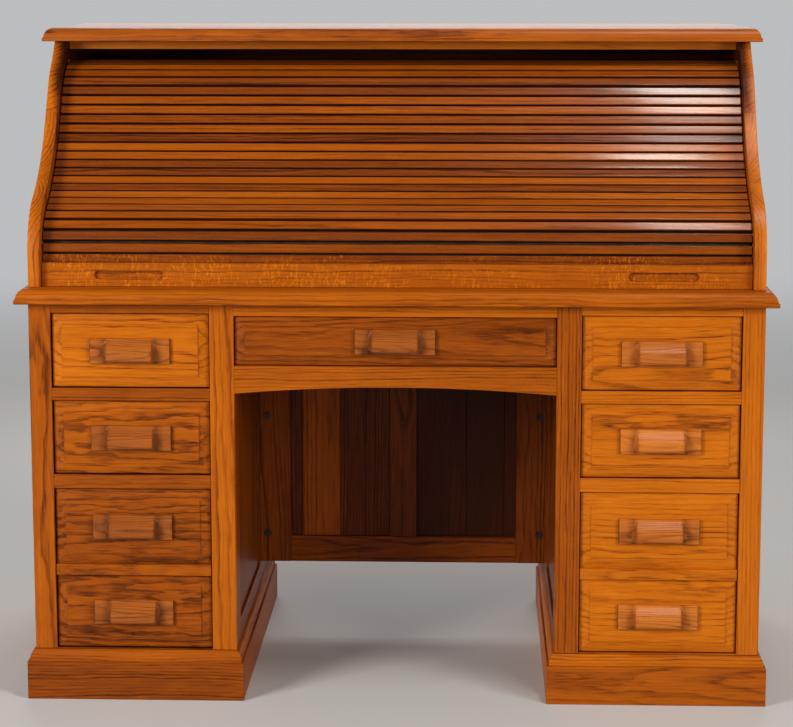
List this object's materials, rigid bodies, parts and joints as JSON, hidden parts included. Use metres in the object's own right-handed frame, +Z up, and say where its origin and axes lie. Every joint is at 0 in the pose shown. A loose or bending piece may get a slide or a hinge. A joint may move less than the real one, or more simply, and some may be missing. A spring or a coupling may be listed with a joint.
{
  "type": "roll top desk",
  "caption": "Oak pedestal desk with an S-shaped slatted roll top, panelled drawers with wooden pulls, a kneehole and inner pigeonholes.",
  "frame": {"origin": "on the floor under the middle of the desk's width and depth", "axes": "+X across the desk to its right end, +Y from the front to the back, +Z up"},
  "size_m": [1.366, 0.765, 1.221],
  "materials": {
    "oak_case": "semi-gloss varnish over golden oak stain",
    "oak_front": "semi-gloss varnish over golden oak stain",
    "oak_pull": "semi-gloss varnish over golden oak stain",
    "oak_slat": "semi-gloss varnish over golden oak stain",
    "oak_rail": "semi-gloss varnish over quartered oak",
    "oak_inside": "satin varnish",
    "drawer_wood": "bare satin poplar",
    "canvas": "plain canvas",
    "bolt_steel": "dark steel"
  },
  "bodies": {
    "desk": {"centre_runners": "drawer_wood", "frieze_rail": "oak_case", "gallery_case": "oak_inside", "kneehole_apron": "oak_case", "kneehole_rail": "oak_case", "left_face_frame": "oak_case", "left_inner_side": "oak_case", "left_outer_side": "oak_case", "left_plinth": "oak_case", "left_roll_side": "oak_case", "left_runners": "drawer_wood", "modesty_bolts": "bolt_steel", "modesty_cleats": "drawer_wood", "modesty_panel": "oak_case", "pedestal_backs": "oak_case", "pedestal_bottoms": "oak_case", "right_face_frame": "oak_case", "right_inner_side": "oak_case", "right_outer_side": "oak_case", "right_plinth": "oak_case", "right_roll_side": "oak_case", "right_runners": "drawer_wood", "roll_back": "oak_case", "top_board": "oak_case", "writing_slab": "oak_case"},
    "left_upper_drawer": {"left_upper_front": "oak_front", "left_upper_box": "drawer_wood", "left_upper_pull": "oak_pull"},
    "left_middle_drawer": {"left_middle_front": "oak_front", "left_middle_box": "drawer_wood", "left_middle_pull": "oak_pull"},
    "left_file_drawer": {"left_file_front": "oak_front", "left_file_box": "drawer_wood", "left_file_pulls": "oak_pull"},
    "left_small_drawer": {"gallery_left_drawer": "oak_inside"},
    "right_upper_drawer": {"right_upper_front": "oak_front", "right_upper_box": "drawer_wood", "right_upper_pull": "oak_pull"},
    "right_middle_drawer": {"right_middle_front": "oak_front", "right_middle_box": "drawer_wood", "right_middle_pull": "oak_pull"},
    "right_file_drawer": {"right_file_front": "oak_front", "right_file_box": "drawer_wood", "right_file_pulls": "oak_pull"},
    "right_small_drawer": {"gallery_right_drawer": "oak_inside"},
    "centre_drawer": {"centre_front": "oak_front", "centre_box": "drawer_wood", "centre_pull": "oak_pull"},
    "lift_rail": {"lift_rail": "oak_rail", "tambour_canvas": "canvas"},
    "tambour_1": {"tambour_link_1": "oak_slat"},
    "tambour_2": {"tambour_link_2": "oak_slat"},
    "tambour_3": {"tambour_link_3": "oak_slat"},
    "tambour_4": {"tambour_link_4": "oak_slat"},
    "tambour_5": {"tambour_link_5": "oak_slat"},
    "tambour_6": {"tambour_link_6": "oak_slat"},
    "tambour_7": {"tambour_link_7": "oak_slat"},
    "tambour_8": {"tambour_link_8": "oak_slat"}
  },
  "joints": [
    {"name": "left_upper_slide", "type": "slide", "parent": "desk", "child": "left_upper_drawer", "axis": [0, -1, 0], "range_m": [0, 0.42]},
    {"name": "left_middle_slide", "type": "slide", "parent": "desk", "child": "left_middle_drawer", "axis": [0, -1, 0], "range_m": [0, 0.42]},
    {"name": "left_file_slide", "type": "slide", "parent": "desk", "child": "left_file_drawer", "axis": [0, -1, 0], "range_m": [0, 0.48]},
    {"name": "right_upper_slide", "type": "slide", "parent": "desk", "child": "right_upper_drawer", "axis": [0, -1, 0], "range_m": [0, 0.42]},
    {"name": "right_middle_slide", "type": "slide", "parent": "desk", "child": "right_middle_drawer", "axis": [0, -1, 0], "range_m": [0, 0.42]},
    {"name": "right_file_slide", "type": "slide", "parent": "desk", "child": "right_file_drawer", "axis": [0, -1, 0], "range_m": [0, 0.48]},
    {"name": "centre_slide", "type": "slide", "parent": "desk", "child": "centre_drawer", "axis": [0, -1, 0], "range_m": [0, 0.28]},
    {"name": "left_small_slide", "type": "slide", "parent": "desk", "child": "left_small_drawer", "axis": [0, -1, 0], "range_m": [0, 0.12]},
    {"name": "right_small_slide", "type": "slide", "parent": "desk", "child": "right_small_drawer", "axis": [0, -1, 0], "range_m": [0, 0.12]},
    {"name": "tambour_roll", "type": "hinge", "parent": "desk", "child": "tambour_4", "pos_m": [0, 0.16659, 0.7217], "axis": [-1, 0, 0], "range_deg": [0, 50.27], "deforming": ["tambour_canvas"]},
    {"name": "tambour_hinge_4", "type": "hinge", "parent": "tambour_4", "child": "tambour_3", "pos_m": [0, -0.19521, 0.94507], "axis": [-1, 0, 0], "range_deg": [-9.89, 0.6]},
    {"name": "tambour_hinge_3", "type": "hinge", "parent": "tambour_3", "child": "tambour_2", "pos_m": [0, -0.24245, 0.90819], "axis": [-1, 0, 0], "range_deg": [-7.3, 0.6]},
    {"name": "tambour_hinge_2", "type": "hinge", "parent": "tambour_2", "child": "tambour_1", "pos_m": [0, -0.29235, 0.87526], "axis": [-1, 0, 0], "range_deg": [-0.6, 9.06]},
    {"name": "tambour_hinge_1", "type": "hinge", "parent": "tambour_1", "child": "lift_rail", "pos_m": [0, -0.31449, 0.821], "axis": [-1, 0, 0], "range_deg": [-7.41, 0.6]},
    {"name": "tambour_hinge_5", "type": "hinge", "parent": "tambour_4", "child": "tambour_5", "pos_m": [0, -0.15454, 0.9891], "axis": [-1, 0, 0], "range_deg": [-0.6, 9.63]},
    {"name": "tambour_hinge_6", "type": "hinge", "parent": "tambour_5", "child": "tambour_6", "pos_m": [0, -0.12127, 1.03897], "axis": [-1, 0, 0], "range_deg": [-0.6, 4.02]},
    {"name": "tambour_hinge_7", "type": "hinge", "parent": "tambour_6", "child": "tambour_7", "pos_m": [0, -0.09037, 1.0904], "axis": [-1, 0, 0], "range_deg": [-0.6, 33.79]},
    {"name": "tambour_hinge_8", "type": "hinge", "parent": "tambour_7", "child": "tambour_8", "pos_m": [0, -0.04967, 1.13346], "axis": [-1, 0, 0], "range_deg": [-0.6, 8.7]}
  ],
  "couplings": [
    {"joint": "tambour_hinge_4", "follows": "tambour_roll", "ratio": -0.18483},
    {"joint": "tambour_hinge_3", "follows": "tambour_roll", "ratio": -0.13324},
    {"joint": "tambour_hinge_2", "follows": "tambour_roll", "ratio": 0.16835},
    {"joint": "tambour_hinge_1", "follows": "tambour_roll", "ratio": -0.13547},
    {"joint": "tambour_hinge_5", "follows": "tambour_roll", "ratio": 0.17963},
    {"joint": "tambour_hinge_6", "follows": "tambour_roll", "ratio": 0.06805},
    {"joint": "tambour_hinge_7", "follows": "tambour_roll", "ratio": 0.66016},
    {"joint": "tambour_hinge_8", "follows": "tambour_roll", "ratio": 0.16105}
  ]
}
